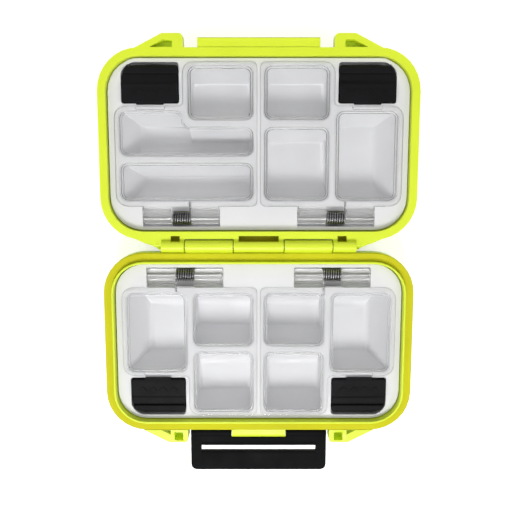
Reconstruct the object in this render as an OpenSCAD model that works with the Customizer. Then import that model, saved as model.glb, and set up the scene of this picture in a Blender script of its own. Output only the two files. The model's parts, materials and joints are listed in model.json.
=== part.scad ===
// Pocket tackle box with a compartment tray in each half, opened flat.
// The hinge line runs along X. The lid half lies on the +Y side, the base half on the -Y side.
// Each half is drawn in its own frame: y grows from the hinge line to the front, z from the floor.

/* [Case] */
// Width of the case along the hinge line
case_w = 118; // [110:0.5:140]
// Depth of one half, from its rear edge to its front edge
case_d = 70; // [66:0.5:90]
// Height of one half, so the closed case is twice as thick
half_h = 17.5; // [16:0.5:24]
// Corner radius of the case seen from above
corner_r = 15.5; // [12:0.5:17]
// Radius where the side walls turn into the bottom
edge_r = 6; // [3:0.5:7]
// Thickness of the bottom of each shell
floor_t = 1.8; // [1.2:0.1:2.5]
// Height of the thicker band round each rim
band_h = 5; // [3:0.5:7]
// How far the walls step in below that band
band_step = 0.9; // [0.3:0.1:1.2]
// Width of the shallow frame groove in the outer faces
groove_w = 1.6; // [1:0.1:3]
// Depth of that frame groove
groove_t = 0.5; // [0.2:0.1:0.8]
// Distance of that frame groove from the case edge
groove_in = 13; // [10:0.5:18]

/* [Rim and seal] */
// Width of the lid rim seen from above
lid_rim_w = 3; // [2.4:0.1:3.2]
// Width of the rubber seal on the base rim
seal_w = 3; // [2.4:0.1:4]
// Thickness of the seal
seal_t = 1.2; // [0.8:0.1:2]
// Distance of the seal from the outer edge
seal_edge = 0.1; // [0:0.05:0.3]
// Gap between the closed lid rim and the seal as drawn
seal_gap = 0.15; // [0.1:0.05:0.4]
// Gap between the seal and the lip inside it
lip_gap = 0.1; // [0.05:0.05:0.3]
// Thickness of the upstanding lip inside the seal
lip_w = 0.9; // [0.7:0.1:1.4]
// Height of the lip above the rim plane
lip_h = 1.5; // [0.8:0.1:1.8]

/* [Case hinge] */
// Distance from the hinge axis to the rear edge of each half
hinge_gap = 2.5; // [2.4:0.1:4]
// Radius of the hinge knuckles
knuckle_r = 2.3; // [1.9:0.1:2.3]
// Radius of the case hinge pin
case_pin_r = 0.9; // [0.6:0.1:1.2]
// Half length of the middle knuckle, on the lid
mid_knuckle_x = 9.4; // [6:0.2:12]
// Where each base knuckle ends, from the middle
base_knuckle_x = 27.6; // [22:0.2:30]
// Where each outer lid knuckle ends, from the middle
lid_knuckle_x = 36.5; // [33:0.5:40]
// Thickness of the lid's hinge flange below the rim plane
flange_h = 3; // [2:0.1:4]
// Half length of the middle window in the hinge flange
mid_window_x = 7.5; // [5:0.5:8]
// Side length of the small windows in the hinge flange along the hinge
side_window_w = 3.4; // [2:0.1:4]
// Depth of the windows below the rim plane
window_h = 2.6; // [1:0.1:2.8]

/* [Wings and catch] */
// Distance of each wing's inner edge from the middle
wing_x = 27.5; // [27.2:0.1:30]
// Length of each wing's flat front edge
wing_flat = 7.5; // [5:0.5:9]
// How far the wings stand out past the rim
wing_reach = 5; // [4:0.1:6]
// Slope angle of the wing's outer edge
wing_angle = 27.3; // [24:0.1:32]
// Height of the wings
wing_h = 6; // [4:0.5:8]
// Half length of the catch bar on the lid
bar_x = 22.25; // [18:0.25:22.5]
// How far the catch bar stands out past the rim
bar_reach = 3.6; // [3.2:0.1:4.2]
// Thickness of the catch bar
bar_t = 2; // [1.6:0.1:2.1]
// How far the catch bar lies below the rim plane
bar_drop = 0.4; // [0.2:0.1:0.8]
// Height of the snap bead on each face of the bar
bead_h = 0.2; // [0.1:0.05:0.2]

/* [Front latch] */
// Half width of the latch
latch_x = 26.8; // [24:0.1:27]
// Length of the latch from its pivot to its free edge
latch_l = 15.3; // [13:0.1:18]
// Distance of the latch pivot from the front wall
latch_out = 2.6; // [2.5:0.1:3.2]
// Distance of the latch pivot below the rim plane
latch_drop = 5; // [4.5:0.1:6]
// Radius of the latch knuckles
latch_knuckle_r = 1.9; // [1.6:0.1:2.1]
// Radius of the latch pin
latch_pin_r = 0.75; // [0.6:0.05:0.9]
// Half length of the base knuckle that carries the latch
latch_mid_x = 10.6; // [8:0.2:14]
// Thickness of the latch plate
latch_t = 2.2; // [1.8:0.1:2.4]
// Half length of the slot in the latch
slot_x = 22.75; // [22.5:0.05:23.5]
// Height of the slot in the latch
slot_h = 2.6; // [2.5:0.1:3.2]
// Corner radius of the latch
latch_r = 2.2; // [1:0.1:4]
// Thickness of the thumb lip below the latch plate
thumb_t = 1.2; // [0.6:0.1:2]
// Half length of the thumb lip
thumb_x = 17.3; // [12:0.1:20]

/* [Trays] */
// Depth of the lid tray's top face below the rim plane
lid_tray_drop = 2.6; // [2.4:0.1:3.2]
// Depth of the base tray's top face below the rim plane
base_tray_drop = 1.4; // [1.3:0.1:2.4]
// Gap between each tray and the rim or lip round it
tray_gap = 0.3; // [0.1:0.05:0.6]
// Thickness of the tray's top plate
tray_plate_t = 1.4; // [1:0.1:2]
// Wall thickness of the compartments
tray_wall = 1.2; // [1.15:0.05:1.3]
// Gap below the compartments
tray_foot_gap = 0.4; // [0.2:0.1:0.8]
// Distance from the tray's rear edge to the compartments
mouth_back = 11; // [10.6:0.1:13]
// Distance from the tray's front edge to the compartments
mouth_front = 2.7; // [2.5:0.1:4]
// Distance from the tray's side edge to the compartments
mouth_side = 4; // [3.6:0.1:6]
// Half of the wall on the middle line between compartments
mouth_mid = 1.9; // [1.6:0.1:3]
// Distance from the tray's side edge to the inner compartments
inner_in = 29.4; // [29.3:0.1:31.5]
// Distance from the tray's side edge to the inner edge of the outer compartments
outer_in = 27.2; // [26.6:0.1:27.5]
// Distance from the tray's front edge to the outer compartments
outer_front = 18.9; // [18.6:0.1:22]
// Thickness of the cross walls between compartments
cross_wall = 2.2; // [2:0.1:2.25]
// Front edge of the long front compartment row in the lid, from the tray's front edge
lid_row_1 = 24.7; // [23:0.1:28]
// Front edge of the long rear compartment in the lid, from the tray's front edge
lid_row_2 = 37.9; // [36:0.1:42]
// Front edge of the rear inner compartments in the base, from the tray's front edge
base_row = 29.2; // [26:0.1:34]
// Distance from the tray's side edge to the inner edge of the L-shaped compartment's wide end
long_end_in = 28.1; // [26:0.1:28.2]
// Radius of that compartment's inner corner
long_corner_r = 2.4; // [1:0.1:2.6]
// Corner radius of the compartments seen from above
mouth_r = 3; // [1.5:0.5:3]
// Plan width of the sloped front wall of each compartment
front_slope = 5.8; // [3:0.1:6.5]
// Plan width of the sloped side wall next to the case wall
side_slope = 7; // [5:0.1:8]
// Plan width of the other side walls
side_draft = 0.8; // [0.4:0.1:1.4]
// Largest radius of the scoop at the hinge side
scoop_r = 9; // [4:0.5:9]

/* [Cover hinges] */
// Distance from the tray's rear edge to the cover pin
cover_pin_in = 4.4; // [4.3:0.05:4.8]
// Depth of the cover pin below the tray's top face
cover_pin_drop = 1.6; // [1.5:0.05:1.7]
// Radius of the cover pin
cover_pin_r = 0.7; // [0.5:0.05:0.75]
// Radius of the cover's hinge barrels
barrel_r = 2.2; // [2:0.1:2.3]
// Distance from the tray's side edge to the outer end of each cover hinge
cover_hinge_in = 12.3; // [12:0.1:14.5]
// Length of each cover hinge
cover_hinge_l = 28.5; // [26:0.5:29]
// Length of the gap for the torsion spring
spring_room = 7.2; // [7.2:0.1:8]
// Depth of the hinge well in the tray
hinge_well_h = 4.6; // [4.4:0.1:5]
// Radius of the springs' middle line
coil_r = 2.45; // [2.2:0.05:2.5]
// Wire thickness of the springs
wire_d = 0.45; // [0.3:0.01:0.46]
// Distance from one turn of a spring to the next
coil_pitch = 0.9; // [0.88:0.01:0.92]
// Length of the spring leg under the cover
leg_l = 6.6; // [6:0.1:6.7]

/* [Covers] */
// Thickness of the clear covers
cover_t = 1.3; // [1.1:0.1:1.4]
// Distance from the tray's rear edge to the covers
cover_back = 9; // [8.8:0.1:9.4]
// Distance from the tray's front edge to the inner part of the covers
cover_front = 1.4; // [1.2:0.1:1.8]
// Distance from the tray's side edge to the covers
cover_side = 2.2; // [1.8:0.1:2.8]
// Distance from the tray's front edge to the outer part of the covers
cover_step = 17.2; // [17.2:0.1:18]
// Distance from the tray's side edge to the covers' inner part
cover_in = 27.6; // [27.4:0.1:28]
// Half of the gap between the two covers
cover_gap = 0.5; // [0.3:0.05:1]
// Width of the step along the covers' top edge
cover_edge = 0.5; // [0.5:0.1:0.8]
// Width of the line engraved in the covers round each compartment
line_w = 0.4; // [0.3:0.05:0.5]
// Depth of that line
line_t = 0.35; // [0.2:0.05:0.5]
// Distance of that line outside the compartment's mouth
line_out = 0.15; // [0.1:0.05:0.2]
// Depth of the plug ribs below the covers
plug_h = 0.9; // [0.5:0.1:1.2]
// Thickness of the plug ribs
plug_t = 0.8; // [0.6:0.1:1.2]
// Gap between the plug ribs and the compartment walls
plug_gap = 0.35; // [0.25:0.05:0.6]

/* [Cover buttons] */
// Distance from the tray's side edge to each button
button_in = 5.4; // [5.2:0.1:7]
// Width of each button
button_w = 20.6; // [18:0.1:20.7]
// Distance from the tray's front edge to the button's front edge
button_front = 2.6; // [2.5:0.1:2.8]
// Length of each button from rear to front
button_l = 13.5; // [13.3:0.1:13.6]
// Distance from the tray's front edge to the button's well
button_well_in = 1.5; // [1.4:0.1:1.6]
// Depth of the shelf in front of each button below the tray's top face
button_shelf_h = 3.6; // [3.5:0.1:4.5]
// Gap between a button and the well round it
button_gap = 0.4; // [0.3:0.05:0.5]
// Radius of the button's outer front corner
button_r = 5; // [3:0.5:6]
// Thickness of the button's top plate
button_t = 2.4; // [2:0.1:3]
// Depth of the button's pivot below the tray's top face
pivot_drop = 6; // [5.5:0.1:6.5]
// Distance of the pivot from the button's rear edge
pivot_in = 1.8; // [1.6:0.1:2.4]
// Radius of the button's pivot studs
stud_r = 0.9; // [0.6:0.1:1.1]
// Depth of the button well below the tray's top face
button_well_h = 9.8; // [9:0.1:10.2]
// Width of the hook
hook_w = 10; // [8:0.5:14]
// Thickness of the hook
hook_t = 0.8; // [0.5:0.1:1]
// Gap between the hook and the cover
hook_gap = 0.25; // [0.2:0.05:0.4]
// Length of the catch slot through the cover
catch_l = 0.9; // [0.6:0.1:1]
// Distance of that slot from the cover's edge
catch_in = 0.48; // [0.4:0.02:0.48]

/* [Fits] */
// Radial gap of a pin in the part that turns on it
turn_fit = 0.05; // [0.02:0.01:0.1]
// Radial gap of a pin in the part that holds it
hold_fit = 0.02; // [0.01:0.01:0.03]
// End gap between hinge knuckles
end_gap = 0.25; // [0.1:0.05:0.5]

/* [Hidden] */
$fn = 36;

BASE = 0;
LID = 1;
LEFT = -1;
RIGHT = 1;
eps = 0.01;           // overlap of pieces that are fused
sagitta = 0.08;       // how far the flats of a rounded corner lie inside its arc

rear = hinge_gap;
front = hinge_gap + case_d;
half_w = case_w / 2;
wing_end = front + wing_reach;
wing_tan = tan(wing_angle);
wing_diag_x = wing_x + wing_flat;
latch_y = front + latch_out;
latch_z = half_h - latch_drop;
latch_end = latch_y + latch_l;
latch_face = 1.2;     // inner face of the closed latch, from the pivot axis towards the case
slot_mid = latch_drop + bar_drop + bar_t / 2;
hinge_y = (latch_end - wing_end) / 2;   // the open box is centred on the origin along Y

lip_in = seal_edge + seal_w + lip_gap;
cavity_in = [lip_in + lip_w, lid_rim_w];
tray_in = [for (s = [BASE, LID]) cavity_in[s] + tray_gap];
tray_back = [for (s = [BASE, LID]) rear + tray_in[s]];
tray_front = [for (s = [BASE, LID]) front - tray_in[s]];
tray_x = [for (s = [BASE, LID]) half_w - tray_in[s]];
tray_z = [half_h - base_tray_drop, half_h - lid_tray_drop];
shoulder_z = half_h - seal_gap - seal_t;
rim_z = [shoulder_z, half_h];
pocket_z = floor_t + tray_foot_gap + tray_wall;
mouth_h = plug_h + 0.2;     // height of the upright walls round a compartment's mouth
inner_x = [for (s = [BASE, LID]) tray_x[s] - inner_in];
outer_x = [for (s = [BASE, LID]) tray_x[s] - outer_in];
cover_x = [for (s = [BASE, LID]) tray_x[s] - cover_in];
long_end_x = tray_x[LID] - long_end_in;
side_ribs = [0.28, 0.48, 0.68] * case_d;    // from the rear edge to the side walls' ribs
front_ribs = [7, 20];                       // from the middle to the front wall's ribs
rear_ribs = [5];                            // from the middle to the rear wall's ribs

cover_pin_y = [for (s = [BASE, LID]) tray_back[s] + cover_pin_in];
cover_pin_z = [for (s = [BASE, LID]) tray_z[s] - cover_pin_drop];
well_back = coil_r + wire_d / 2 + 0.3;  // hinge well's rear wall behind the pin
well_side = 0.3;                        // end gap of the hinge barrels in the well
pin_seat = 0.9;                         // how far the cover pins enter the tray
cover_hinge_x1 = [for (s = [BASE, LID]) tray_x[s] - cover_hinge_in];
cover_hinge_x0 = [for (s = [BASE, LID]) cover_hinge_x1[s] - cover_hinge_l];
spring_mid = [for (s = [BASE, LID]) cover_hinge_x1[s] - cover_hinge_l / 2];
leaf_back = 0.4 + barrel_r;             // rear edge of the cover plate from the pin
web_t = 0.2;                            // overlap of the barrel's web and the cover plate

button_rear = [for (s = [BASE, LID]) tray_front[s] - button_front - button_l];
button_top = cover_t;
pivot_y = [for (s = [BASE, LID]) button_rear[s] + pivot_in];
pivot_z = [for (s = [BASE, LID]) tray_z[s] - pivot_drop];
button_x1 = [for (s = [BASE, LID]) tray_x[s] - button_in];
button_x0 = [for (s = [BASE, LID]) button_x1[s] - button_w];
button_mid = [for (s = [BASE, LID]) button_x1[s] - button_w / 2];

// ---- outlines ---------------------------------------------------------------

function unit(v) = v / norm(v);

// Points of the arc that rounds the corner b between a and c
function corner_arc(a, b, c, r) =
    r <= 0 ? [b] :
    let (
        u = unit(a - b),
        v = unit(c - b),
        half = acos(u * v) / 2,
        mid = b + unit(u + v) * r / sin(half),
        from = b + u * r / tan(half) - mid,
        to = b + v * r / tan(half) - mid,
        a0 = atan2(from.y, from.x),
        turn = atan2(from.x * to.y - from.y * to.x, from * to),
        n = ceil(abs(turn) / (2 * acos(max(1 - sagitta / r, 0.7))))
    )
    [for (i = [0:n]) mid + r * [cos(a0 + turn * i / n), sin(a0 + turn * i / n)]];

// A closed outline whose corners p[i] are rounded by r[i]
function rounded(p, r) =
    let (n = len(p))
    [for (i = [0:n - 1]) each corner_arc(p[(i + n - 1) % n], p[i], p[(i + 1) % n], r[i])];

function box_points(x0, x1, y0, y1) = [[x0, y0], [x1, y0], [x1, y1], [x0, y1]];

// The case outline, drawn in by inset
function case_points(inset) =
    rounded(
        box_points(-half_w + inset, half_w - inset, rear + inset, front - inset),
        [for (i = [0:3]) max(corner_r - inset, 1)]
    );

module ring(outer, inner) {
    difference() {
        polygon(outer);
        polygon(inner);
    }
}

module slab(z0, z1) {
    translate([0, 0, z0]) linear_extrude(z1 - z0) children();
}

// Extrudes a drawing in the Y-Z plane along X
module along_x(x0, x1) {
    translate([x0, 0, 0]) rotate([90, 0, 90]) linear_extrude(x1 - x0) children();
}

// Extrudes a drawing in the X-Z plane along Y
module along_y(y0, y1) {
    translate([0, y1, 0]) rotate([90, 0, 0]) linear_extrude(y1 - y0) children();
}

module rod(x0, x1, y, z, r) {
    translate([x0, y, z]) rotate([0, 90, 0]) cylinder(r = r, h = x1 - x0);
}

// Both signs of X
module both() {
    children();
    mirror([1, 0, 0]) children();
}

// Puts a half's own frame where that half lies in the open case
module place(half) {
    translate([0, hinge_y, 0]) mirror([0, half == BASE ? 1 : 0, 0]) children();
}

// Draws a right-hand piece on its own side
module side(hand) {
    mirror([hand == LEFT ? 1 : 0, 0, 0]) children();
}

// ---- shells -----------------------------------------------------------------

// A block with a rounded lower edge, drawn in by inset from the case outline
module rounded_block(inset, z0, z1, r, steps) {
    hull() {
        for (i = [1:steps]) {
            a = 90 * i / steps;
            slab(z0 + r * (1 - sin(a)), z0 + r * (1 - sin(a)) + eps)
                polygon(case_points(inset + r * (1 - cos(a))));
        }
        slab(z0 + r, z1) polygon(case_points(inset));
    }
}

// One rib in side view, measured inward from the case edge
module rest_profile(half) {
    reach = cavity_in[half] + 1.4;
    top = tray_z[half] - tray_plate_t;
    polygon([
        [band_step + 1, floor_t + 2.6], [band_step + 1, top],
        [reach, top], [reach, floor_t + 0.5]
    ]);
}

// The ribs under the tray's plate
module tray_rests(half) {
    rib_t = 1.2;
    for (y = side_ribs)
        both()
            translate([half_w, rear + y, 0]) mirror([1, 0, 0])
                along_y(0, rib_t) rest_profile(half);
    for (x = front_ribs)
        both() translate([x, front, 0]) mirror([0, 1, 0]) along_x(0, rib_t) rest_profile(half);
    for (x = rear_ribs)
        both() translate([x, rear, 0]) along_x(0, rib_t) rest_profile(half);
}

function wing_points(top_y) =
    rounded(
        [
            [wing_x, front - 3],
            [wing_diag_x + (wing_reach + 2) / wing_tan, front - 3],
            [wing_diag_x + (wing_reach + 2) / wing_tan, front - 2],
            [wing_diag_x, top_y],
            [wing_x, top_y]
        ],
        [0, 0, 0, 1, 1.4]
    );

// Above the level of the rim the wings stay outside the case outline
module wings(top, rim) {
    both() {
        slab(top - wing_h, min(top, rim)) polygon(wing_points(wing_end));
        if (top > rim)
            slab(rim - eps, top)
                difference() {
                    polygon(wing_points(wing_end));
                    polygon(case_points(0));
                }
    }
}

// A line along a wing's slope, wall inside it: x at a given y, and y at a given x
function wing_line_x(y, wall) =
    wing_diag_x + (wing_end - y) / wing_tan - wall / sin(wing_angle);
function wing_line_y(x, wall) =
    wing_end - (x - wing_diag_x + wall / sin(wing_angle)) * wing_tan;

module shell_body(half) {
    cavity = cavity_in[half];
    difference() {
        union() {
            slab(rim_z[half] - band_h, rim_z[half]) polygon(case_points(0));
            rounded_block(band_step, 0, rim_z[half] - band_h + eps, edge_r, 5);
        }
        rounded_block(cavity, floor_t, rim_z[half] + 2 * eps, 2.2, 1);
        slab(-eps, groove_t)
            ring(case_points(groove_in), case_points(groove_in + groove_w));
    }
    tray_rests(half);
}

// Knuckles on the case hinge axis from x0 to x1, on both sides
module case_knuckles(x0, x1) {
    both() rod(x0, x1, 0, half_h, knuckle_r);
}

// Room for the other half's knuckles in the rear edge
module knuckle_room(x0, x1) {
    both()
        translate([x0, -knuckle_r - 1, half_h - knuckle_r - 1])
            cube([x1 - x0, rear + knuckle_r + 1.2, 2 * knuckle_r + 2]);
}

module base_shell() {
    window_x = wing_x + 6.9;
    window_wall = 3;
    color([0.86, 0.93, 0.17])
    place(BASE)
    difference() {
        union() {
            shell_body(BASE);
            slab(shoulder_z - eps, half_h + lip_h)
                ring(case_points(lip_in), case_points(lip_in + lip_w));
            wings(half_h - 0.3, shoulder_z);
            case_knuckles(mid_knuckle_x + end_gap, base_knuckle_x);
            both()
                along_x(mid_knuckle_x + end_gap, base_knuckle_x)
                    polygon([
                        [0, half_h - knuckle_r - 1.6], [rear + 0.5, half_h - knuckle_r - 1.6],
                        [rear + 0.5, shoulder_z], [rear, shoulder_z],
                        [rear, shoulder_z + seal_t], [0, shoulder_z + seal_t]
                    ]);
            rod(-latch_mid_x, latch_mid_x, latch_y, latch_z, latch_knuckle_r);
            translate([-latch_mid_x, front - 1, latch_z - latch_knuckle_r])
                cube([2 * latch_mid_x, latch_out + 1, 2 * latch_knuckle_r]);
        }
        rod(-half_w, half_w, 0, half_h, case_pin_r + hold_fit);
        rod(-half_w, half_w, latch_y, latch_z, latch_pin_r + hold_fit);
        both() {
            // window for a cord
            slab(half_h - wing_h - 1, half_h)
                polygon([
                    [window_x, front + 0.1],
                    [wing_line_x(front + 0.1, window_wall), front + 0.1],
                    [window_x, wing_line_y(window_x, window_wall)]
                ]);
            // hollow beside it
            slab(half_h - 4, half_h)
                polygon(box_points(wing_x + 2, wing_x + 5.4, front + 0.9, wing_end - 0.8));
        }
    }
}

module lid_flange() {
    tip = 1.6;
    spread = 4.6;
    run = (tip + spread) * 2.26;
    slab(half_h - flange_h, half_h)
        polygon([
            [-lid_knuckle_x, -tip],
            [lid_knuckle_x, -tip],
            [lid_knuckle_x + run, spread],
            [-lid_knuckle_x - run, spread]
        ]);
}

module lid_shell() {
    window_y0 = 1.9;
    window_y1 = 3.9;
    hollow_x = wing_x + 3.8;
    hollow_y = wing_end - 2.3;
    hollow_wall = 2.25;
    color([0.86, 0.93, 0.17])
    place(LID)
    difference() {
        union() {
            shell_body(LID);
            wings(half_h, half_h);
            lid_flange();
            rod(-mid_knuckle_x, mid_knuckle_x, 0, half_h, knuckle_r);
            case_knuckles(base_knuckle_x + end_gap, lid_knuckle_x);
            catch_bar();
        }
        knuckle_room(mid_knuckle_x, base_knuckle_x + end_gap);
        rod(-half_w, half_w, 0, half_h, case_pin_r + turn_fit);
        slab(half_h - window_h, half_h + 1.5)
            polygon(box_points(-mid_window_x, mid_window_x, window_y0, window_y1));
        both()
            slab(half_h - window_h, half_h + 1.5)
                polygon(box_points(
                    base_knuckle_x + 2, base_knuckle_x + 2 + side_window_w, window_y0, window_y1
                ));
        both()
            slab(half_h - 4, half_h + eps)
                polygon([
                    [hollow_x, front + 0.1],
                    [wing_line_x(front + 0.1, hollow_wall), front + 0.1],
                    [wing_line_x(hollow_y, hollow_wall), hollow_y],
                    [hollow_x, hollow_y]
                ]);
    }
}

// The bar that snaps through the slot of the latch
module catch_bar() {
    top = half_h - bar_drop;
    tip = front + bar_reach;
    bead_y = 1;
    along_x(-bar_x, bar_x)
        polygon([
            [front - 1, top],
            [tip - bead_y - 0.4, top],
            [tip - bead_y, top + bead_h],
            [tip - 0.3, top + bead_h],
            [tip, top - 0.3],
            [tip, top - bar_t + 0.3],
            [tip - 0.3, top - bar_t - bead_h],
            [tip - bead_y, top - bar_t - bead_h],
            [tip - bead_y - 0.4, top - bar_t],
            [front - 1, top - bar_t]
        ]);
}

module seal_ring() {
    color([0.83, 0.81, 0.13])
    place(BASE)
        slab(shoulder_z, shoulder_z + seal_t)
            ring(case_points(seal_edge), case_points(seal_edge + seal_w));
}

module case_hinge_pin() {
    color("silver")
    place(BASE)
        rod(-lid_knuckle_x + 0.4, lid_knuckle_x - 0.4, 0, half_h, case_pin_r);
}

// ---- front latch ------------------------------------------------------------

module front_latch() {
    plate_top = latch_face;
    plate_low = latch_face - latch_t;
    collar = latch_knuckle_r + end_gap;
    color([0.1, 0.1, 0.11])
    place(BASE)
    translate([0, latch_y, latch_z])
    difference() {
        union() {
            slab(plate_low, plate_top)
                polygon(rounded(
                    box_points(-latch_x, latch_x, 0, latch_l),
                    [0, 0, latch_r, latch_r]
                ));
            both() rod(latch_mid_x + end_gap, latch_x, 0, 0, latch_knuckle_r);
            // thumb lip along the free edge
            along_x(-thumb_x, thumb_x)
                polygon([
                    [latch_l - 2.4, plate_low + eps],
                    [latch_l - 1.4, plate_low - thumb_t],
                    [latch_l - 0.3, plate_low - thumb_t],
                    [latch_l - eps, plate_low + 0.6],
                    [latch_l - 1, plate_low + 0.6]
                ]);
            // stiffening rib on each side of the slot
            for (y = [slot_mid - slot_h / 2 - 0.9, slot_mid + slot_h / 2 + 0.3])
                translate([-slot_x, y, plate_top - eps]) cube([2 * slot_x, 0.6, 0.3]);
        }
        // room for the knuckle on the base
        translate([-latch_mid_x - end_gap, -latch_knuckle_r - 1, -latch_knuckle_r - 1])
            cube([2 * (latch_mid_x + end_gap), collar + latch_knuckle_r + 1, 2 * latch_knuckle_r + 2]);
        slab(plate_low - thumb_t - 1, plate_top + 1)
            polygon(box_points(-slot_x, slot_x, slot_mid - slot_h / 2, slot_mid + slot_h / 2));
        rod(-latch_x - 1, latch_x + 1, 0, 0, latch_pin_r + turn_fit);
    }
}

module front_latch_pin() {
    color("silver")
    place(BASE)
        rod(-latch_x + 0.3, latch_x - 0.3, latch_y, latch_z, latch_pin_r);
}

// ---- trays ------------------------------------------------------------------

// Each compartment: x0, x1, y0, y1, plan widths of the walls at x0 and at x1
function base_pockets() =
    let (
        y0 = tray_back[BASE] + mouth_back,
        row = tray_front[BASE] - base_row,
        side = tray_x[BASE] - mouth_side,
        outer_y = tray_front[BASE] - outer_front,
        front_y = tray_front[BASE] - mouth_front,
        right = [
            [mouth_mid, inner_x[BASE], y0, row, side_draft, side_draft],
            [mouth_mid, inner_x[BASE], row + cross_wall, front_y, side_draft, side_draft],
            [outer_x[BASE], side, y0, outer_y, side_draft, side_slope]
        ]
    )
    concat(right, mirrored(right));

// The first two share one L-shaped compartment
function lid_pockets() =
    let (
        y0 = tray_back[LID] + mouth_back,
        row_1 = tray_front[LID] - lid_row_1,
        row_2 = tray_front[LID] - lid_row_2,
        side = tray_x[LID] - mouth_side,
        outer_y = tray_front[LID] - outer_front,
        front_y = tray_front[LID] - mouth_front
    )
    concat(
        mirrored([
            [mouth_mid, side, row_2 + cross_wall, row_1, side_draft, side_slope],
            [long_end_x, side, row_2 + cross_wall, outer_y, side_draft, side_slope],
            [mouth_mid, side, y0, row_2, side_draft, side_slope],
            [mouth_mid, inner_x[LID], row_1 + cross_wall, front_y, side_draft, side_draft]
        ]),
        [
            [mouth_mid, inner_x[LID], row_1 + cross_wall, front_y, side_draft, side_draft],
            [mouth_mid, inner_x[LID], y0, row_1, side_draft, side_draft],
            [outer_x[LID], side, y0, outer_y, side_draft, side_slope]
        ]
    );

function mirrored(list) = [for (p = list) [-p[1], -p[0], p[2], p[3], p[5], p[4]]];

// Outline of a compartment's mouth, drawn in by gap
function mouth_points(p, gap) =
    rounded(
        box_points(p[0] + gap, p[1] - gap, p[2] + gap, p[3] - gap),
        [for (i = [0:3]) mouth_r - gap]
    );

// The same for the L-shaped compartment made of a and b
function mouth_points_l(a, b, gap) =
    rounded(
        [
            [a[0] + gap, a[2] + gap], [a[1] - gap, a[2] + gap], [a[1] - gap, a[3] - gap],
            [b[1] - gap, a[3] - gap], [b[1] - gap, b[3] - gap], [a[0] + gap, b[3] - gap]
        ],
        [for (i = [0:5]) i == 3 ? long_corner_r + gap : mouth_r - gap]
    );

function scoop_of(p, top) =
    min(scoop_r, (p[3] - p[2] - front_slope) * 0.9, (top - pocket_z) * 0.7);

// Side view of a compartment from y0 to y1
module pocket_profile(y0, y1, top, scoop) {
    polygon(rounded(
        [
            [y0, pocket_z], [y1 - front_slope, pocket_z],
            [y1, top - 1 - mouth_h], [y1, top + 9], [y0, top + 9]
        ],
        [scoop, 1, 0, 0, 0]
    ));
}

// Front view of a compartment with the walls of p
module pocket_front(p, top) {
    polygon(rounded(
        [
            [p[0] + p[4], pocket_z], [p[1] - p[5], pocket_z],
            [p[1], top - 1 - mouth_h], [p[1], top + 1],
            [p[0], top + 1], [p[0], top - 1 - mouth_h]
        ],
        [p[4] > 2 ? 4 : 2, p[5] > 2 ? 4 : 2, 0, 0, 0, 0]
    ));
}

// A compartment's space
module pocket(p, top) {
    intersection() {
        slab(pocket_z, top) polygon(mouth_points(p, 0));
        along_x(p[0] - 1, p[1] + 1) pocket_profile(p[2], p[3], top, scoop_of(p, top));
        along_y(p[2] - 1, p[3] + 1) pocket_front(p, top);
    }
}

// The space of the L-shaped compartment: a, with b in front of its left end
module pocket_l(a, b, top) {
    slope_y = a[3] - front_slope;
    difference() {
        intersection() {
            slab(pocket_z, top) polygon(mouth_points_l(a, b, 0));
            along_x(a[0] - 1, a[1] + 1) pocket_profile(a[2], b[3], top, scoop_of(a, top));
            along_y(a[2] - 1, b[3] + 1) pocket_front(a, top);
        }
        along_x(b[1] + long_corner_r * 0.8, a[1] + 2)
            polygon([
                [slope_y - 0.5, pocket_z - 1], [slope_y + 0.05, pocket_z + 0.1],
                [a[3] - 0.05, top - 1 - mouth_h], [a[3] + 2, top - 1 - mouth_h],
                [a[3] + 2, pocket_z - 1]
            ]);
    }
}

// The outside of a compartment's walls
module pocket_shell(p, top) {
    w = tray_wall;
    low = pocket_z - w;
    scoop = scoop_of(p, top) * 0.5;
    intersection() {
        along_x(p[0] - w, p[1] + w)
            polygon([
                [p[2] - w, low + scoop], [p[2] - w + scoop, low],
                [p[3] - front_slope + w * 0.6, low],
                [p[3] + w, top - mouth_h], [p[3] + w, top], [p[2] - w, top]
            ]);
        along_y(p[2] - 2, p[3] + 2)
            polygon([
                [p[0] + p[4] - w, low], [p[1] - p[5] + w * 0.8, low],
                [p[1] + w, top - mouth_h], [p[1] + w, top],
                [p[0] - w, top], [p[0] - w, top - mouth_h]
            ]);
    }
}

// Outline of a button's well, grown by grow
function button_well_points(half, grow) =
    rounded(
        box_points(
            button_x0[half] - button_gap - grow, button_x1[half] + button_gap + grow,
            button_rear[half] - button_gap - grow,
            tray_front[half] - button_well_in + grow
        ),
        [0.8 + grow, 0.8 + grow, button_r + 0.5 + grow, 1.2 + grow]
    );

function hinge_well_points(half, grow) =
    box_points(
        cover_hinge_x0[half] - well_side - grow, cover_hinge_x1[half] + well_side + grow,
        cover_pin_y[half] - well_back - grow, tray_back[half] + cover_back + grow
    );

// x of the spring leg's middle line on the given hand, in the half's frame
function leg_x(half, hand) =
    hand * spring_mid[half] + (half == LID ? 1 : -1) * coil_span / 2;

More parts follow.
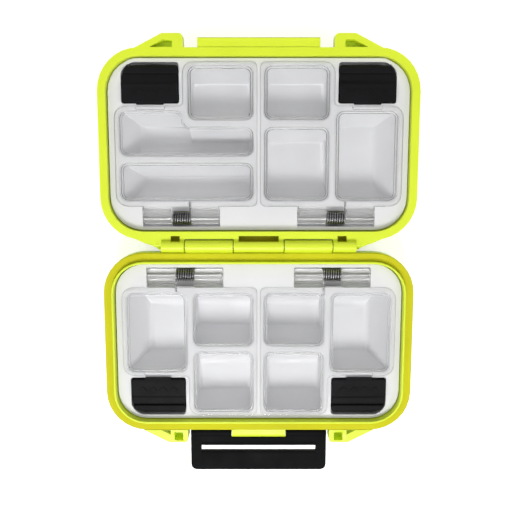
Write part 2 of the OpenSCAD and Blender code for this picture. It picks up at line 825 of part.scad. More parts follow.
module tray(half, pockets) {
    top = tray_z[half];
    seat = well_side + pin_seat;
    groove_x = wire_d + 0.5;
    difference() {
        union() {
            slab(top - tray_plate_t, top) polygon(case_points(tray_in[half]));
            for (p = pockets) pocket_shell(p, top - eps);
            if (half == LID) pocket_shell(pockets[1] + [0, long_corner_r, 0, 0, 0, 0], top - eps);
            both() {
                slab(top - button_well_h - tray_wall, top - eps)
                    polygon(button_well_points(half, tray_wall));
                slab(top - hinge_well_h - tray_wall, top - eps)
                    polygon(hinge_well_points(half, tray_wall));
            }
        }
        if (half == LID) pocket_l(pockets[0], pockets[1], top + 1);
        for (i = [half == LID ? 2 : 0:len(pockets) - 1]) pocket(pockets[i], top + 1);
        both() {
            slab(top - button_shelf_h, top + 1) polygon(button_well_points(half, 0));
            // the deep part of the well ends under the button's front edge
            intersection() {
                slab(top - button_well_h, top - button_shelf_h + 1)
                    polygon(button_well_points(half, 0));
                slab(top - button_well_h - 1, top)
                    polygon(box_points(
                        button_x0[half] - 1, button_x1[half] + 1, button_rear[half] - 1,
                        tray_front[half] - button_front - 0.5
                    ));
            }
            slab(top - hinge_well_h, top + 1) polygon(hinge_well_points(half, 0));
            rod(
                cover_hinge_x0[half] - seat, cover_hinge_x1[half] + seat,
                cover_pin_y[half], cover_pin_z[half], cover_pin_r + hold_fit
            );
            rod(
                button_x0[half] - button_gap - tray_wall - 0.1,
                button_x1[half] + button_gap + tray_wall + 0.1,
                pivot_y[half], pivot_z[half], stud_r + turn_fit
            );
            // hole under the spring, whose rear edge holds the spring's anchor leg
            slab(top - hinge_well_h - tray_wall - 1, top - hinge_well_h + 0.1)
                polygon(box_points(
                    spring_mid[half] - spring_room / 2, spring_mid[half] + spring_room / 2,
                    cover_pin_y[half] - coil_r - wire_d / 2 - 0.1, cover_pin_y[half] + coil_r
                ));
        }
        // grooves for the spring legs
        for (hand = [LEFT, RIGHT])
            translate([
                leg_x(half, hand) - groove_x / 2,
                tray_back[half] + cover_back - 0.5,
                top - 0.9
            ])
                cube([groove_x, mouth_back - cover_back + 1.5, 2]);
    }
}

module base_tray() {
    color([0.9, 0.9, 0.9]) place(BASE) tray(BASE, base_pockets());
}

module lid_tray() {
    color([0.9, 0.9, 0.9]) place(LID) tray(LID, lid_pockets());
}

// ---- clear covers -----------------------------------------------------------

// L-shaped outline of a right-hand cover, drawn in by inset
function cover_points(half, inset) =
    let (
        x0 = cover_gap + inset,
        x1 = tray_x[half] - cover_side - inset,
        xm = cover_x[half] - inset,
        y0 = tray_back[half] + cover_back + inset,
        ym = tray_front[half] - cover_step - inset,
        y1 = tray_front[half] - cover_front - inset
    )
    rounded(
        [[x0, y0], [x1, y0], [x1, ym], [xm, ym], [xm, y1], [x0, y1]],
        [2, 4.5 - inset, 4.5 - inset, 1.5 + inset, 4 - inset, 2]
    );

module plug(half, outlines) {
    slab(tray_z[half] - plug_h, tray_z[half] + eps) ring(outlines[0], outlines[1]);
}

// The flat right-hand cover with its hinge leaf and barrels
module cover_plate(half) {
    z = tray_z[half];
    py = cover_pin_y[half];
    pz = cover_pin_z[half];
    leaf_y = py + leaf_back;
    back = tray_back[half] + cover_back;
    step_t = 0.45;
    x0 = cover_hinge_x0[half];
    x1 = cover_hinge_x1[half];
    difference() {
        union() {
            slab(z, z + cover_t - step_t) polygon(cover_points(half, 0));
            slab(z, z + cover_t) polygon(cover_points(half, cover_edge));
            // leaf from the plate to the barrels, raised by the same step
            slab(z, z + cover_t)
                polygon(box_points(x0, x1, leaf_y, back + cover_edge + eps));
            rod(x0, x1, py, pz, barrel_r);
            along_x(x0, x1)
                polygon([
                    [py, pz], [py + leaf_back + 1.2, pz],
                    [py + leaf_back + 1.2, z + web_t], [py + 0.9, z + web_t]
                ]);
        }
        translate([spring_mid[half] - spring_room / 2, py - barrel_r - 1, pz - barrel_r - 1])
            cube([spring_room, back - 0.4 - py + barrel_r + 1, 2 * barrel_r + 4]);
        rod(x0 - 1, x1 + 1, py, pz, cover_pin_r + turn_fit);
        // slot that the button's hook bites into
        translate([
            button_mid[half] - hook_w / 2 - hook_gap,
            tray_front[half] - cover_step - catch_in - catch_l,
            z - 1
        ])
            cube([hook_w + 2 * hook_gap, catch_l, cover_t + 2]);
    }
}

// Insets of a cover's outlines from the compartment's mouth: plug rib, then engraved line
cover_insets = [plug_gap, plug_gap + plug_t, -line_out - line_w, -line_out];

module cover(half, hand, outlines) {
    color([0.82, 0.85, 0.86, 0.4])
    place(half) {
        difference() {
            side(hand) cover_plate(half);
            for (o = outlines)
                slab(tray_z[half] + cover_t - line_t, tray_z[half] + cover_t + 1)
                    ring(o[2], o[3]);
        }
        for (o = outlines) plug(half, o);
    }
}

function outlines_of(pockets) =
    [for (p = pockets) [for (inset = cover_insets) mouth_points(p, inset)]];

module base_right_cover() {
    p = base_pockets();
    cover(BASE, RIGHT, outlines_of([p[0], p[1], p[2]]));
}

module base_left_cover() {
    p = base_pockets();
    cover(BASE, LEFT, outlines_of([p[3], p[4], p[5]]));
}

module lid_right_cover() {
    p = lid_pockets();
    cover(LID, RIGHT, outlines_of([p[4], p[5], p[6]]));
}

module lid_left_cover() {
    p = lid_pockets();
    long = [for (inset = cover_insets) mouth_points_l(p[0], p[1], inset)];
    cover(LID, LEFT, concat([long], outlines_of([p[2], p[3]])));
}

module cover_pin(half, hand) {
    seat = well_side + pin_seat - 0.1;
    color("silver")
    place(half)
    side(hand)
        rod(
            cover_hinge_x0[half] - seat, cover_hinge_x1[half] + seat,
            cover_pin_y[half], cover_pin_z[half], cover_pin_r
        );
}

module base_left_cover_pin() cover_pin(BASE, LEFT);
module base_right_cover_pin() cover_pin(BASE, RIGHT);
module lid_left_cover_pin() cover_pin(LID, LEFT);
module lid_right_cover_pin() cover_pin(LID, RIGHT);

// ---- torsion springs --------------------------------------------------------

rings_per_turn = 12;
coil_rings = 88;      // seven turns and a third, from the front leg to the anchor leg
wire_sides = 5;
coil_span = coil_rings / rings_per_turn * coil_pitch;
leg_z = cover_pin_drop - 0.3;   // height of the front leg above the pin, just under the cover
leg_angle = 60;       // where the wire leaves the coil for the front leg
anchor_l = 3.6;       // length of the leg that stands in the hole of the hinge well

// Angle of ring i of the coil, from the front leg round to the anchor leg
function coil_angle(i) = leg_angle + 360 * i / rings_per_turn;

function coil_point(i) = [
    coil_span / 2 - coil_pitch * i / rings_per_turn,
    coil_r * cos(coil_angle(i)),
    coil_r * sin(coil_angle(i))
];

// Middle line of the wire: front leg, turns, anchor leg
leg_bend_y = coil_point(0).y + (coil_point(0).z - leg_z) * tan(leg_angle);
wire_path = concat(
    [[coil_span / 2, leg_l, leg_z], [coil_span / 2, leg_bend_y, leg_z]],
    [for (i = [0:coil_rings]) coil_point(i)],
    [coil_point(coil_rings) - [0, 0, 0.4], coil_point(coil_rings) - [0, 0, anchor_l]]
);

// Outward direction of the ring, square to the wire
function wire_out(i) =
    let (a = coil_angle(min(max(i - 2, 0), coil_rings)))
    [0, cos(a), sin(a)];

function wire_along(i) =
    unit(wire_path[min(i + 1, len(wire_path) - 1)] - wire_path[max(i - 1, 0)]);

// One corner of ring i, with the ring kept square to the wire
function wire_corner(i, k) =
    let (
        t = wire_along(i),
        out = unit(wire_out(i) - (wire_out(i) * t) * t),
        across = cross(t, out),
        a = 360 * k / wire_sides
    )
    wire_path[i] + wire_d / 2 * (cos(a) * out + sin(a) * across);

wire_rings = len(wire_path);
wire_points = [for (i = [0:wire_rings - 1], k = [0:wire_sides - 1]) wire_corner(i, k)];
wire_sides_faces = [
    for (i = [0:wire_rings - 2], k = [0:wire_sides - 1])
        let (
            a = i * wire_sides + k,
            b = i * wire_sides + (k + 1) % wire_sides
        )
        each [[a, b, b + wire_sides], [a, b + wire_sides, a + wire_sides]]
];
wire_end = (wire_rings - 1) * wire_sides;
wire_cap_faces = [
    for (k = [1:wire_sides - 2])
        each [[0, k + 1, k], [wire_end, wire_end + k, wire_end + k + 1]]
];

// Least gap of the wire to itself, between rings that are over half a turn apart
wire_gap = min([
    for (i = [0:wire_rings - 1], j = [i + rings_per_turn / 2:wire_rings - 1])
        norm(wire_path[i] - wire_path[j])
]) - wire_d;

// The lid and base springs are one part, turned half round
module spring(half, hand) {
    color([0.55, 0.55, 0.57])
    translate([0, hinge_y, 0])
    rotate([0, 0, half == BASE ? 180 : 0])
    translate([
        (half == BASE ? -1 : 1) * hand * spring_mid[half],
        cover_pin_y[half], cover_pin_z[half]
    ])
        polyhedron(wire_points, concat(wire_sides_faces, wire_cap_faces));
}

module base_left_spring() spring(BASE, LEFT);
module base_right_spring() spring(BASE, RIGHT);
module lid_left_spring() spring(LID, LEFT);
module lid_right_spring() spring(LID, RIGHT);

echo(least_gap_of_spring_wire = wire_gap);

// ---- cover buttons ----------------------------------------------------------

// Side view of a button, from its rear edge (y = 0), with z = 0 on the tray's top face
module button_side() {
    top = button_top;
    low = top - button_t;
    leg_0 = pivot_in - 1.3;
    leg_1 = pivot_in + 1.3;
    dish = 1;
    lip_0 = button_l - 3.3;
    lip_1 = button_l - 1.1;
    polygon([
        [0.3, top], [0, top - 0.3], [0, low], [leg_0, low], [leg_0, -pivot_drop],
        [leg_1, -pivot_drop], [leg_1, low - 0.6], [leg_1 + 0.6, low],
        [button_l - 2.4, low], [button_l - 2.4, low - 2.2], [button_l - 1.2, low - 2.2],
        [button_l - 1.2, low], [button_l, low],
        [button_l, top - 1.3], [lip_1, top - 0.1], [lip_0 + 0.2, top - 0.1],
        [lip_0, top - dish], [lip_0 - 2.3, top - dish], [lip_0 - 3.7, top]
    ]);
}

// Raised arrow heads that point to the cover edge
module button_arrows(mid_x) {
    count = 4;
    pitch = 4;
    span = 1.5;
    rise = 1.4;
    bar = 0.9;
    for (i = [0:count - 1])
        translate([mid_x + (i - (count - 1) / 2) * pitch, 2.2, button_top - eps])
            linear_extrude(0.25 + eps)
                polygon([
                    [-span, rise + 0.6], [0, 0.6], [span, rise + 0.6],
                    [span, rise + 0.6 + bar], [0, 0.6 + bar], [-span, rise + 0.6 + bar]
                ]);
}

module button(half, hand) {
    leg_w = 4;
    stud_l = button_gap + tray_wall * 0.6;
    x0 = button_x0[half];
    x1 = button_x1[half];
    color([0.14, 0.14, 0.15])
    place(half)
    side(hand)
    translate([0, button_rear[half], tray_z[half]]) {
        difference() {
            intersection() {
                along_x(x0, x1) button_side();
                slab(-pivot_drop - stud_r - 1, button_top + 1)
                    polygon(rounded(
                        box_points(x0, x1, 0, button_l),
                        [0.4, 0.4, button_r, 0.8]
                    ));
            }
            // the leg is narrower than the top, so that it clears the well
            slab(-pivot_drop - 1, button_top - button_t - 0.8)
                polygon(box_points(x0 + leg_w, x1 - leg_w, -1, pivot_in + 2));
        }
        for (x = [[x0, x0 + leg_w], [x1 - leg_w, x1]])
            rod(x[0], x[1], pivot_in, -pivot_drop, 1.3);
        for (x = [[x0 - stud_l, x0 + 1], [x1 - 1, x1 + stud_l]])
            rod(x[0], x[1], pivot_in, -pivot_drop, stud_r);
        // hook that reaches towards the cover
        reach = cover_step - button_front - button_l - hook_gap;
        translate([button_mid[half] - hook_w / 2, -reach, button_top - hook_t - 0.1])
            cube([hook_w, reach + 0.5, hook_t]);
        button_arrows(button_mid[half]);
    }
}

module base_left_button() button(BASE, LEFT);
module base_right_button() button(BASE, RIGHT);
module lid_left_button() button(LID, LEFT);
module lid_right_button() button(LID, RIGHT);

base_shell();
lid_shell();
seal_ring();
case_hinge_pin();
front_latch();
front_latch_pin();
base_tray();
lid_tray();
base_left_cover();
base_right_cover();
lid_left_cover();
lid_right_cover();
base_left_cover_pin();
base_right_cover_pin();
lid_left_cover_pin();
lid_right_cover_pin();
base_left_spring();
base_right_spring();
lid_left_spring();
lid_right_spring();
base_left_button();
base_right_button();
lid_left_button();
lid_right_button();
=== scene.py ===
"""Looks for the pocket tackle box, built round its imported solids.

The box lies open on a white table, with the lid half behind and the base half in front."""
import json
import math

import bmesh
import bpy
from mathutils import Matrix, Vector


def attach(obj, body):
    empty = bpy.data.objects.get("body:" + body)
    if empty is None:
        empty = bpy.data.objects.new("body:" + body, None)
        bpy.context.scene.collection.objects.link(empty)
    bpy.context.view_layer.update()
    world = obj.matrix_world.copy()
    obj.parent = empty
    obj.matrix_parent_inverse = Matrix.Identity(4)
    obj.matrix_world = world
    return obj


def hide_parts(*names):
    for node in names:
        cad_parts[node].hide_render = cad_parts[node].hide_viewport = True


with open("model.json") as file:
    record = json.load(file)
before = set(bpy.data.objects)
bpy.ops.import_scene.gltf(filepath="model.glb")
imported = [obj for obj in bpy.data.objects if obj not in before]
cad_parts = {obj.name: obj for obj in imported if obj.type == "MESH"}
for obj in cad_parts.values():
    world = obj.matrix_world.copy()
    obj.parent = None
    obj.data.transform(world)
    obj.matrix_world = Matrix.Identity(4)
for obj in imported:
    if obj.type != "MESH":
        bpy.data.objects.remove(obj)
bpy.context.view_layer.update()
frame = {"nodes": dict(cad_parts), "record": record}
nodes = frame["nodes"]

MM = 0.001

BODY = {
    node: body
    for body, members in frame["record"]["behaviour"]["bodies"].items()
    for node in members
}
SLOT = {part["node"]: part["material_slot"] for part in frame["record"]["subparts"]}


# ---- small modelling helpers ----------------------------------------------------------------

MERGE_DISTANCE = 0.01 * MM
SMOOTH_ANGLE = math.radians(34)     # edges flatter than this are shaded smooth


def only(obj):
    """Selects obj alone, so that an operator acts on nothing else."""
    bpy.ops.object.select_all(action="DESELECT")
    obj.select_set(True)
    bpy.context.view_layer.objects.active = obj


def apply(obj, kind, name, **settings):
    """Adds one modifier with these settings and applies it."""
    only(obj)
    mod = obj.modifiers.new(name, kind)
    for key, value in settings.items():
        setattr(mod, key, value)
    bpy.ops.object.modifier_apply(modifier=mod.name)


def copy_of(node, name, flat_angle=0.4):
    """A merged copy of a CAD node's mesh, with faces joined that differ less than flat_angle."""
    mesh = nodes[node].data.copy()
    obj = bpy.data.objects.new(name, mesh)
    bpy.context.scene.collection.objects.link(obj)
    mesh.materials.clear()
    only(obj)
    bpy.ops.object.mode_set(mode="EDIT")
    bpy.ops.mesh.select_all(action="SELECT")
    bpy.ops.mesh.remove_doubles(threshold=MERGE_DISTANCE)
    if flat_angle:
        bpy.ops.mesh.dissolve_limited(angle_limit=math.radians(flat_angle))
    bpy.ops.object.mode_set(mode="OBJECT")
    return obj


# ---- mould radii ----------------------------------------------------------------------------

SHARP_ANGLE = math.radians(32)      # edges sharper than this get a radius
SIDEWAYS = 0.2                      # share of its length by which an edge has to lead aside
ROOM_BESIDE = 2.2                   # room that a radius needs on each side, in radii
FOLD_AREA = 0.03 * MM * MM          # a face that covers this much more than its size is folded
OFF_PLANE = 0.02 * MM
ROUNDING_TRIES = 6


def has_room(edge, least):
    """Whether each edge that leads aside from the ends of this one is longer than least."""
    along = (edge.verts[1].co - edge.verts[0].co).normalized()
    for vert in edge.verts:
        for other in vert.link_edges:
            away = other.other_vert(vert).co - vert.co
            aside = (away - along * away.dot(along)).length
            if aside > SIDEWAYS * away.length and away.length <= least:
                return False
    return True


def sharp_edges(mesh, width):
    """The sharp edges of a mesh that have room beside them for a radius of width millimetres."""
    bm = bmesh.new()
    bm.from_mesh(mesh)
    bm.edges.index_update()
    roomy = {
        edge.index for edge in bm.edges
        if len(edge.link_faces) == 2
        and edge.calc_face_angle(0) >= SHARP_ANGLE
        and has_room(edge, ROOM_BESIDE * width * MM)
    }
    bm.free()
    return roomy


def folded_faces(mesh):
    """Centre, normal, low and high corner of each face that the rounding has folded."""
    mesh.calc_loop_triangles()
    covered = [0.0] * len(mesh.polygons)
    for triangle in mesh.loop_triangles:
        covered[triangle.polygon_index] += triangle.area
    folded = []
    for face, area in zip(mesh.polygons, covered):
        if area > face.area + FOLD_AREA:
            points = [mesh.vertices[index].co for index in face.vertices]
            low = [min(point[axis] for point in points) for axis in range(3)]
            high = [max(point[axis] for point in points) for axis in range(3)]
            folded.append((face.center.copy(), face.normal.copy(), low, high))
    return folded


def lies_on(mesh, edge, fault, margin):
    """Whether an edge lies in the plane and the box of a folded face."""
    centre, normal, low, high = fault
    for index in edge.vertices:
        point = mesh.vertices[index].co
        if abs((point - centre).dot(normal)) > OFF_PLANE:
            return False
        if any(not low[a] - margin < point[a] < high[a] + margin for a in range(3)):
            return False
    return True


def soften(obj, width, flat=None):
    """Rounds the sharp edges by width millimetres, as a mould leaves them.

    Edges on which the radius would fold a face stay sharp. Faces for which the test flat is
    true are shaded flat."""
    plain = obj.data
    chosen = sharp_edges(plain, width)
    for _ in range(ROUNDING_TRIES):
        obj.data = plain.copy()
        weights = obj.data.attributes.new("bevel_weight_edge", "FLOAT", "EDGE")
        for index in chosen:
            weights.data[index].value = 1.0
        apply(
            obj, "BEVEL", "mould_radius", width=width * MM, segments=2,
            limit_method="WEIGHT", use_clamp_overlap=False, harden_normals=False,
            miter_outer="MITER_ARC",
        )
        faults = folded_faces(obj.data)
        if not faults:
            break
        margin = 2 * width * MM
        chosen = {
            index for index in chosen
            if not any(lies_on(plain, plain.edges[index], fault, margin) for fault in faults)
        }
    only(obj)
    bpy.ops.object.shade_smooth_by_angle(angle=SMOOTH_ANGLE)
    if flat:
        for face in obj.data.polygons:
            face.use_smooth = not flat(face)
    apply(obj, "WEIGHTED_NORMAL", "flat_faces", keep_sharp=True, weight=80)


# ---- shader helpers -------------------------------------------------------------------------


def calculate(tree, operation, first, second):
    """The result of a Math node on two sockets."""
    node = tree.nodes.new("ShaderNodeMath")
    node.operation = operation
    tree.links.new(first, node.inputs[0])
    tree.links.new(second, node.inputs[1])
    return node.outputs["Value"]


def noise(tree, scale, detail, rough):
    node = tree.nodes.new("ShaderNodeTexNoise")
    node.inputs["Scale"].default_value = scale
    node.inputs["Detail"].default_value = detail
    node.inputs["Roughness"].default_value = rough
    return node


def noise_range(tree, source):
    """A Map Range node that stretches the usual range of a noise, 0.3 to 0.7, to 0 to 1."""
    node = tree.nodes.new("ShaderNodeMapRange")
    node.inputs["From Min"].default_value = 0.3
    node.inputs["From Max"].default_value = 0.7
    tree.links.new(source, node.inputs["Value"])
    return node


def moulded_group():
    """Injection-moulded plastic: cloudy colour, fine spark-eroded grain, handling smears."""
    group = bpy.data.node_groups.new("moulded_plastic", "ShaderNodeTree")
    for label, kind in (
        ("Vector", "Vector"), ("Light", "Color"), ("Dark", "Color"),
        ("Rough Low", "Float"), ("Rough High", "Float"), ("Grain", "Float"),
    ):
        group.interface.new_socket(label, in_out="INPUT", socket_type="NodeSocket" + kind)
    for label, kind in (("Color", "Color"), ("Roughness", "Float"), ("Height", "Float")):
        group.interface.new_socket(label, in_out="OUTPUT", socket_type="NodeSocket" + kind)
    given = group.nodes.new("NodeGroupInput").outputs
    result = group.nodes.new("NodeGroupOutput").inputs

    cloud = noise(group, 55, 3, 0.55)
    smear = noise(group, 160, 4, 0.6)
    grain = noise(group, 5200, 1, 0.5)
    ripple = noise(group, 240, 1, 0.4)
    for node in (cloud, smear, grain, ripple):
        group.links.new(given["Vector"], node.inputs["Vector"])

    mix = group.nodes.new("ShaderNodeMix")
    mix.data_type = "RGBA"
    clouded = noise_range(group, cloud.outputs["Fac"])
    group.links.new(clouded.outputs["Result"], mix.inputs["Factor"])
    group.links.new(given["Light"], mix.inputs["A"])
    group.links.new(given["Dark"], mix.inputs["B"])
    group.links.new(mix.outputs["Result"], result["Color"])

    smeared = noise_range(group, smear.outputs["Fac"])
    group.links.new(given["Rough Low"], smeared.inputs["To Min"])
    group.links.new(given["Rough High"], smeared.inputs["To Max"])
    group.links.new(smeared.outputs["Result"], result["Roughness"])

    fine = calculate(group, "MULTIPLY", grain.outputs["Fac"], given["Grain"])
    group.links.new(
        calculate(group, "ADD", fine, ripple.outputs["Fac"]), result["Height"]
    )
    return group


MOULDED = moulded_group()


def moulded(name, light, dark, rough, grain, relief, **sockets):
    """A plastic or metal finish between two colours and two roughnesses.

    Relief is the height of its grain and ripple in millimetres."""
    mat = bpy.data.materials.new(name)
    mat.use_nodes = True
    tree = mat.node_tree
    shader = tree.nodes["Principled BSDF"]
    for key, value in sockets.items():
        shader.inputs[key.replace("_", " ")].default_value = value
    coords = tree.nodes.new("ShaderNodeTexCoord")
    detail = tree.nodes.new("ShaderNodeGroup")
    detail.node_tree = MOULDED
    for key, value in (
        ("Light", (*light, 1)), ("Dark", (*dark, 1)),
        ("Rough Low", rough[0]), ("Rough High", rough[1]), ("Grain", grain),
    ):
        detail.inputs[key].default_value = value
    tree.links.new(coords.outputs["Object"], detail.inputs["Vector"])
    tree.links.new(detail.outputs["Color"], shader.inputs["Base Color"])
    tree.links.new(detail.outputs["Roughness"], shader.inputs["Roughness"])
    bump = tree.nodes.new("ShaderNodeBump")
    bump.inputs["Strength"].default_value = 1.0
    bump.inputs["Distance"].default_value = relief * MM
    tree.links.new(detail.outputs["Height"], bump.inputs["Height"])
    tree.links.new(bump.outputs["Normal"], shader.inputs["Normal"])
    return mat


def clear_plastic(name, light, dark, rough, passed):
    """Clear styrene that refracts, but lets light straight through to the tray below.

    Passed is the share of that light in red, green and blue."""
    mat = moulded(
        name, light, dark, (rough, rough + 0.04), 0.0, 0.0006,
        Transmission_Weight=1.0, IOR=1.45,
    )
    tree = mat.node_tree
    path = tree.nodes.new("ShaderNodeLightPath")
    straight = calculate(
        tree, "MAXIMUM", path.outputs["Is Shadow Ray"], path.outputs["Is Diffuse Ray"]
    )
    through = tree.nodes.new("ShaderNodeBsdfTransparent")
    through.inputs["Color"].default_value = (*passed, 1)
    blend = tree.nodes.new("ShaderNodeMixShader")
    tree.links.new(straight, blend.inputs["Fac"])
    tree.links.new(tree.nodes["Principled BSDF"].outputs["BSDF"], blend.inputs[1])
    tree.links.new(through.outputs["BSDF"], blend.inputs[2])
    tree.links.new(blend.outputs["Shader"], tree.nodes["Material Output"].inputs["Surface"])
    return mat


# ---- finishes -------------------------------------------------------------------------------

lime = moulded(
    "lime_shell_plastic", (0.725, 0.865, 0.028), (0.69, 0.825, 0.024),
    rough=(0.34, 0.46), grain=0.35, relief=0.02,
)
# darker olive lime: painted shade inside the hinge-flange windows
painted_shade_window_lime = moulded(
    "lime_with_painted_shade_in_windows", (0.44, 0.43, 0.003), (0.37, 0.36, 0.002),
    rough=(0.5, 0.6), grain=0.35, relief=0.02, Specular_IOR_Level=0.2,
)
seal_rubber = moulded(
    "yellow_seal_rubber", (0.62, 0.60, 0.010), (0.56, 0.535, 0.008),
    rough=(0.62, 0.74), grain=0.6, relief=0.03, Specular_IOR_Level=0.2,
)
tray_white = moulded(
    "white_tray_plastic", (0.755, 0.755, 0.77), (0.715, 0.715, 0.73),
    rough=(0.36, 0.48), grain=0.25, relief=0.015,
)
black = moulded(
    "black_moulded_plastic", (0.008, 0.0082, 0.009), (0.005, 0.0052, 0.0058),
    rough=(0.5, 0.64), grain=0.6, relief=0.03, Specular_IOR_Level=0.10,
)
latch_black = moulded(
    "black_latch_plastic", (0.006, 0.0062, 0.007), (0.004, 0.0042, 0.0048),
    rough=(0.5, 0.64), grain=0.6, relief=0.03, Specular_IOR_Level=0.045,
)
wire = moulded(
    "spring_wire", (0.46, 0.46, 0.47), (0.22, 0.22, 0.225),
    rough=(0.16, 0.28), grain=0.4, relief=0.01, Metallic=1.0,
)
rod_steel = moulded(
    "pin_rod_steel", (0.42, 0.42, 0.43), (0.32, 0.32, 0.33),
    rough=(0.36, 0.5), grain=0.3, relief=0.01, Metallic=1.0,
)
# near-black core inside each spring: painted shade seen between the turns
painted_shade_core_finish = moulded(
    "dark_core_painted_shade", (0.045, 0.045, 0.045), (0.030, 0.030, 0.031),
    rough=(0.45, 0.6), grain=0.4, relief=0.01, Specular_IOR_Level=0.2,
)
clear = clear_plastic(
    "clear_cover_plastic", (1.0, 1.0, 1.0), (0.985, 0.99, 0.99),
    rough=0.02, passed=(0.965, 0.965, 0.965),
)
# for the walls of the covers and the sides of their engraved lines: a grey tint, painted shade
# that darkens their outlines
clear_walls_painted_shade = clear_plastic(
    "clear_cover_walls_painted_shade", (0.50, 0.51, 0.51), (0.44, 0.45, 0.45),
    rough=0.32, passed=(0.92, 0.92, 0.92),
)
# for the hinge barrels of the covers and the leaves beside them
clear_barrel = clear_plastic(
    "clear_hinge_barrels", (0.92, 0.92, 0.905), (0.86, 0.86, 0.845),
    rough=0.40, passed=(0.96, 0.96, 0.955),
)

FINISH = {
    "shell": lime, "seal": seal_rubber, "tray": tray_white, "clear": clear,
    "black": black, "spring_steel": wire, "pin_steel": rod_steel,
}


# ---- the box: the CAD shapes with their radii and finishes --------------------------------------

# radius of the edges in millimetres
ROUNDING = {
    "shell": 0.35, "seal": 0.3, "tray": 0.3, "clear": 0.3, "black": 0.25, "pin_steel": 0.08,
}
BARREL_DEPTH = 5.2 * MM             # of a cover's barrels and leaves, from its hinge side
LEVEL = 0.96                        # upward part of the normal of a level face
SHADE_CORE_RADIUS = 1.75 * MM

# the windows of the hinge flange in millimetres, whose inner faces get a painted shade: half
# length of the middle one, ends of the outer ones along the hinge, and the range across the hinge
# and in height of all three
MID_WINDOW = 7.6
OUTER_WINDOW = (30.0, 34.5)
WINDOW_ACROSS = (8.25, 10.45)
WINDOW_HEIGHT = (14.5, 17.3)


def round_wire(obj):
    """Turns the flat-sided wire of a spring into a round one of the same thickness."""
    apply(obj, "DISPLACE", "full_section", strength=0.05 * MM, mid_level=0.0)
    apply(obj, "SUBSURF", "round_section", levels=1, render_levels=1)
    only(obj)
    bpy.ops.object.shade_smooth()


def barrel_test(cover, node):
    """A test for the faces of a cover's hinge barrels, which lie along its hinge side."""
    rows = [face.center.y for face in cover.data.polygons]
    hinge_y = max(rows) if node.startswith("base") else min(rows)
    return lambda face: abs(face.center.y - hinge_y) < BARREL_DEPTH


def frost_barrels_and_shade_walls(cover, in_barrel):
    """Gives a cover's hinge barrels their matt finish, and its upright faces a matt grey tint,
    painted shade that darkens its edges and engraved lines.
    """
    cover.data.materials.append(clear_walls_painted_shade)
    cover.data.materials.append(clear_barrel)
    for face in cover.data.polygons:
        if in_barrel(face):
            face.material_index = 2
        # upright faces take the grey tint: painted shade along the edges and engraved lines
        elif abs(face.normal.z) < LEVEL:
            face.material_index = 1


def add_painted_shade_core(node):
    """A dark cylinder on the cover pin inside the coil: painted shade that darkens the gaps
    between its turns.
    """
    columns = [vertex.co.x for vertex in nodes[node].data.vertices]
    low_x, high_x = min(columns), max(columns)
    pin = nodes[node.replace("spring", "cover_pin")].data.vertices
    middle_y = (min(v.co.y for v in pin) + max(v.co.y for v in pin)) / 2
    middle_z = (min(v.co.z for v in pin) + max(v.co.z for v in pin)) / 2
    bpy.ops.object.select_all(action="DESELECT")
    bpy.ops.mesh.primitive_cylinder_add(
        vertices=32, radius=SHADE_CORE_RADIUS, depth=high_x - low_x - 0.2 * MM,
        location=((low_x + high_x) / 2, middle_y, middle_z), rotation=(0, math.radians(90), 0),
    )
    shade_core = bpy.context.object
    shade_core.name = node + "_shade_core"
    bpy.ops.object.transform_apply(location=True, rotation=True, scale=True)
    apply(
        shade_core, "BEVEL", "turned_ends", width=0.25 * MM, segments=3,
        limit_method="ANGLE", angle_limit=math.radians(40),
    )
    bpy.ops.object.shade_smooth_by_angle(angle=SMOOTH_ANGLE)
    shade_core.data.materials.append(painted_shade_core_finish)
    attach(shade_core, BODY[node])


def paint_shade_in_windows(shell):
    """Gives the faces inside the deep, narrow windows of the lid's hinge flange a darker lime, a
    painted shade for these narrow hollows.
    """
    shell.data.materials.append(painted_shade_window_lime)
    for face in shell.data.polygons:
        x, y, z = (value / MM for value in face.center)
        along = abs(x) < MID_WINDOW or OUTER_WINDOW[0] < abs(x) < OUTER_WINDOW[1]
        across = WINDOW_ACROSS[0] < y < WINDOW_ACROSS[1]
        if along and across and WINDOW_HEIGHT[0] < z < WINDOW_HEIGHT[1]:
            face.material_index = 1


def dress(node):
    """Puts the finished piece in the place of a CAD node."""
    slot = SLOT[node]
    if slot == "spring_steel":
        piece = copy_of(node, node + "_drawn", flat_angle=0)
        round_wire(piece)
    else:
        piece = copy_of(node, node + "_moulded")
        in_barrel = barrel_test(piece, node) if slot == "clear" else None
        soften(piece, ROUNDING[slot], flat=in_barrel)
    piece.data.materials.clear()
    piece.data.materials.append(latch_black if node == "front_latch" else FINISH[slot])
    if slot == "clear":
        frost_barrels_and_shade_walls(piece, in_barrel)
    if node == "lid_shell":
        paint_shade_in_windows(piece)
    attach(piece, BODY[node])
    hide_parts(node)


for node_name in nodes:
    dress(node_name)
    if SLOT[node_name] == "spring_steel":
        add_painted_shade_core(node_name)


# ---- floor, light and camera ------------------------------------------------------------------

TABLE_GLOW = 0.62
# a patch of the table under the case hinge without its glow: painted shade in the gaps there
HINGE_SHADE_PATCH = (("X", 0.0345), ("Y", 0.011))   # half length and half width of the unlit patch
GAP_FADE = 0.002
SKY_LIGHT = 0.34                            # of the world, where the camera doesn't see it

# name, place, diameter in metres, watts
LAMPS = (
    ("front_softbox", (-0.05, -0.46, 0.65), 0.26, 3.6),
    ("back_softbox", (0.0, 0.60, 0.60), 0.5, 0.9),
    ("left_softbox", (-0.60, -0.15, 0.60), 0.5, 1.3),
    ("right_softbox", (0.62, -0.18, 0.60), 0.5, 1.5),
)
LAMP_AIM = Vector((0, 0, 0.01))

CAMERA_PLACE = Vector((-1.0, 40.95, 278.3)) * MM
CAMERA_AIM = Vector((-1.0, 2.8, 17.5)) * MM
SENSOR_WIDTH = 36
FOCAL_PIXELS = 700                          # for a picture 512 pixels wide


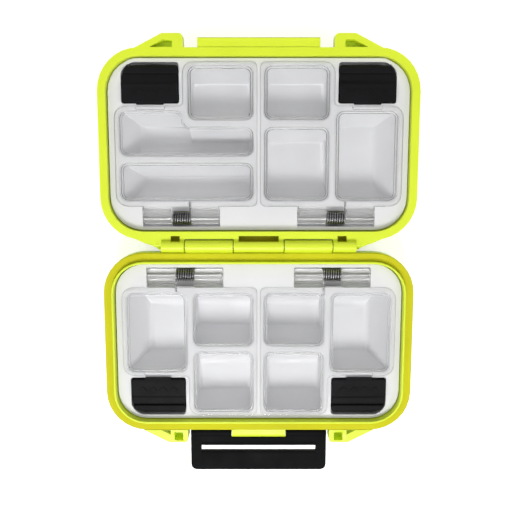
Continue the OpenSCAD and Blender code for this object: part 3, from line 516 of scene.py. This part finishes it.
def seen_directly(tree):
    """1 for rays that show the background: from the camera, a reflection or through glass."""
    path = tree.nodes.new("ShaderNodeLightPath").outputs
    first = calculate(tree, "MAXIMUM", path["Is Camera Ray"], path["Is Glossy Ray"])
    return calculate(tree, "MAXIMUM", first, path["Is Transmission Ray"])


def table_glow_with_painted_shade(tree):
    """The table's own glow, taken out in a patch under the case hinge: painted shade for the
    narrow gaps there.
    """
    coords = tree.nodes.new("ShaderNodeTexCoord")
    place = tree.nodes.new("ShaderNodeSeparateXYZ")
    tree.links.new(coords.outputs["Object"], place.inputs["Vector"])
    steps = []
    for axis, edge in HINGE_SHADE_PATCH:
        size = tree.nodes.new("ShaderNodeMath")
        size.operation = "ABSOLUTE"
        tree.links.new(place.outputs[axis], size.inputs[0])
        step = tree.nodes.new("ShaderNodeMapRange")
        step.inputs["From Min"].default_value = edge
        step.inputs["From Max"].default_value = edge + GAP_FADE
        step.inputs["To Min"].default_value = 0.0
        step.inputs["To Max"].default_value = TABLE_GLOW
        tree.links.new(size.outputs["Value"], step.inputs["Value"])
        steps.append(step.outputs["Result"])
    return calculate(tree, "MAXIMUM", steps[0], steps[1])


def add_floor():
    """A white table just under the box."""
    bpy.ops.object.select_all(action="DESELECT")
    bpy.ops.mesh.primitive_plane_add(size=6, location=(0, 0, -0.05 * MM))
    floor = bpy.context.object
    floor.name = "white_table"
    mat = bpy.data.materials.new("white_table_top")
    mat.use_nodes = True
    tree = mat.node_tree
    shader = tree.nodes["Principled BSDF"]
    shader.inputs["Base Color"].default_value = (0.82, 0.82, 0.82, 1)
    shader.inputs["Roughness"].default_value = 0.9
    shader.inputs["Specular IOR Level"].default_value = 0.1
    glow = tree.nodes.new("ShaderNodeEmission")
    # the glow is masked under the hinge, a painted shade in the gaps
    strength = calculate(tree, "MULTIPLY", seen_directly(tree), table_glow_with_painted_shade(tree))
    tree.links.new(strength, glow.inputs["Strength"])
    total = tree.nodes.new("ShaderNodeAddShader")
    tree.links.new(shader.outputs["BSDF"], total.inputs[0])
    tree.links.new(glow.outputs["Emission"], total.inputs[1])
    tree.links.new(total.outputs["Shader"], tree.nodes["Material Output"].inputs["Surface"])
    floor.data.materials.append(mat)


def add_world():
    """A white surround that lights the box less than the camera sees of it."""
    world = bpy.data.worlds.new("studio")
    bpy.context.scene.world = world
    world.use_nodes = True
    tree = world.node_tree
    background = tree.nodes["Background"]
    background.inputs["Color"].default_value = (1, 1, 1, 1)
    strength = tree.nodes.new("ShaderNodeMix")
    strength.data_type = "FLOAT"
    strength.inputs["A"].default_value = SKY_LIGHT
    strength.inputs["B"].default_value = 1.0
    path = tree.nodes.new("ShaderNodeLightPath")
    tree.links.new(path.outputs["Is Camera Ray"], strength.inputs["Factor"])
    tree.links.new(strength.outputs["Result"], background.inputs["Strength"])


def add_lamp(name, place, size, watts):
    """A round softbox that points at the box."""
    data = bpy.data.lights.new(name, "AREA")
    data.shape = "DISK"
    data.size = size
    data.energy = watts
    lamp = bpy.data.objects.new(name, data)
    lamp.location = place
    lamp.rotation_euler = (LAMP_AIM - Vector(place)).to_track_quat("-Z", "Y").to_euler()
    bpy.context.scene.collection.objects.link(lamp)


def add_camera():
    """The camera above the lid half, with its upper edge along the hinge."""
    data = bpy.data.cameras.new("photo_camera")
    data.sensor_width = SENSOR_WIDTH
    data.lens = FOCAL_PIXELS / 512 * SENSOR_WIDTH
    data.clip_start = 0.01
    camera = bpy.data.objects.new("photo_camera", data)
    camera.location = CAMERA_PLACE
    back = (CAMERA_PLACE - CAMERA_AIM).normalized()
    right = Vector((1, 0, 0))
    camera.rotation_euler = Matrix((right, back.cross(right), back)).transposed().to_euler()
    bpy.context.scene.collection.objects.link(camera)
    bpy.context.scene.camera = camera


add_floor()
add_world()
for lamp_settings in LAMPS:
    add_lamp(*lamp_settings)
add_camera()
bpy.context.scene.view_settings.view_transform = "Standard"
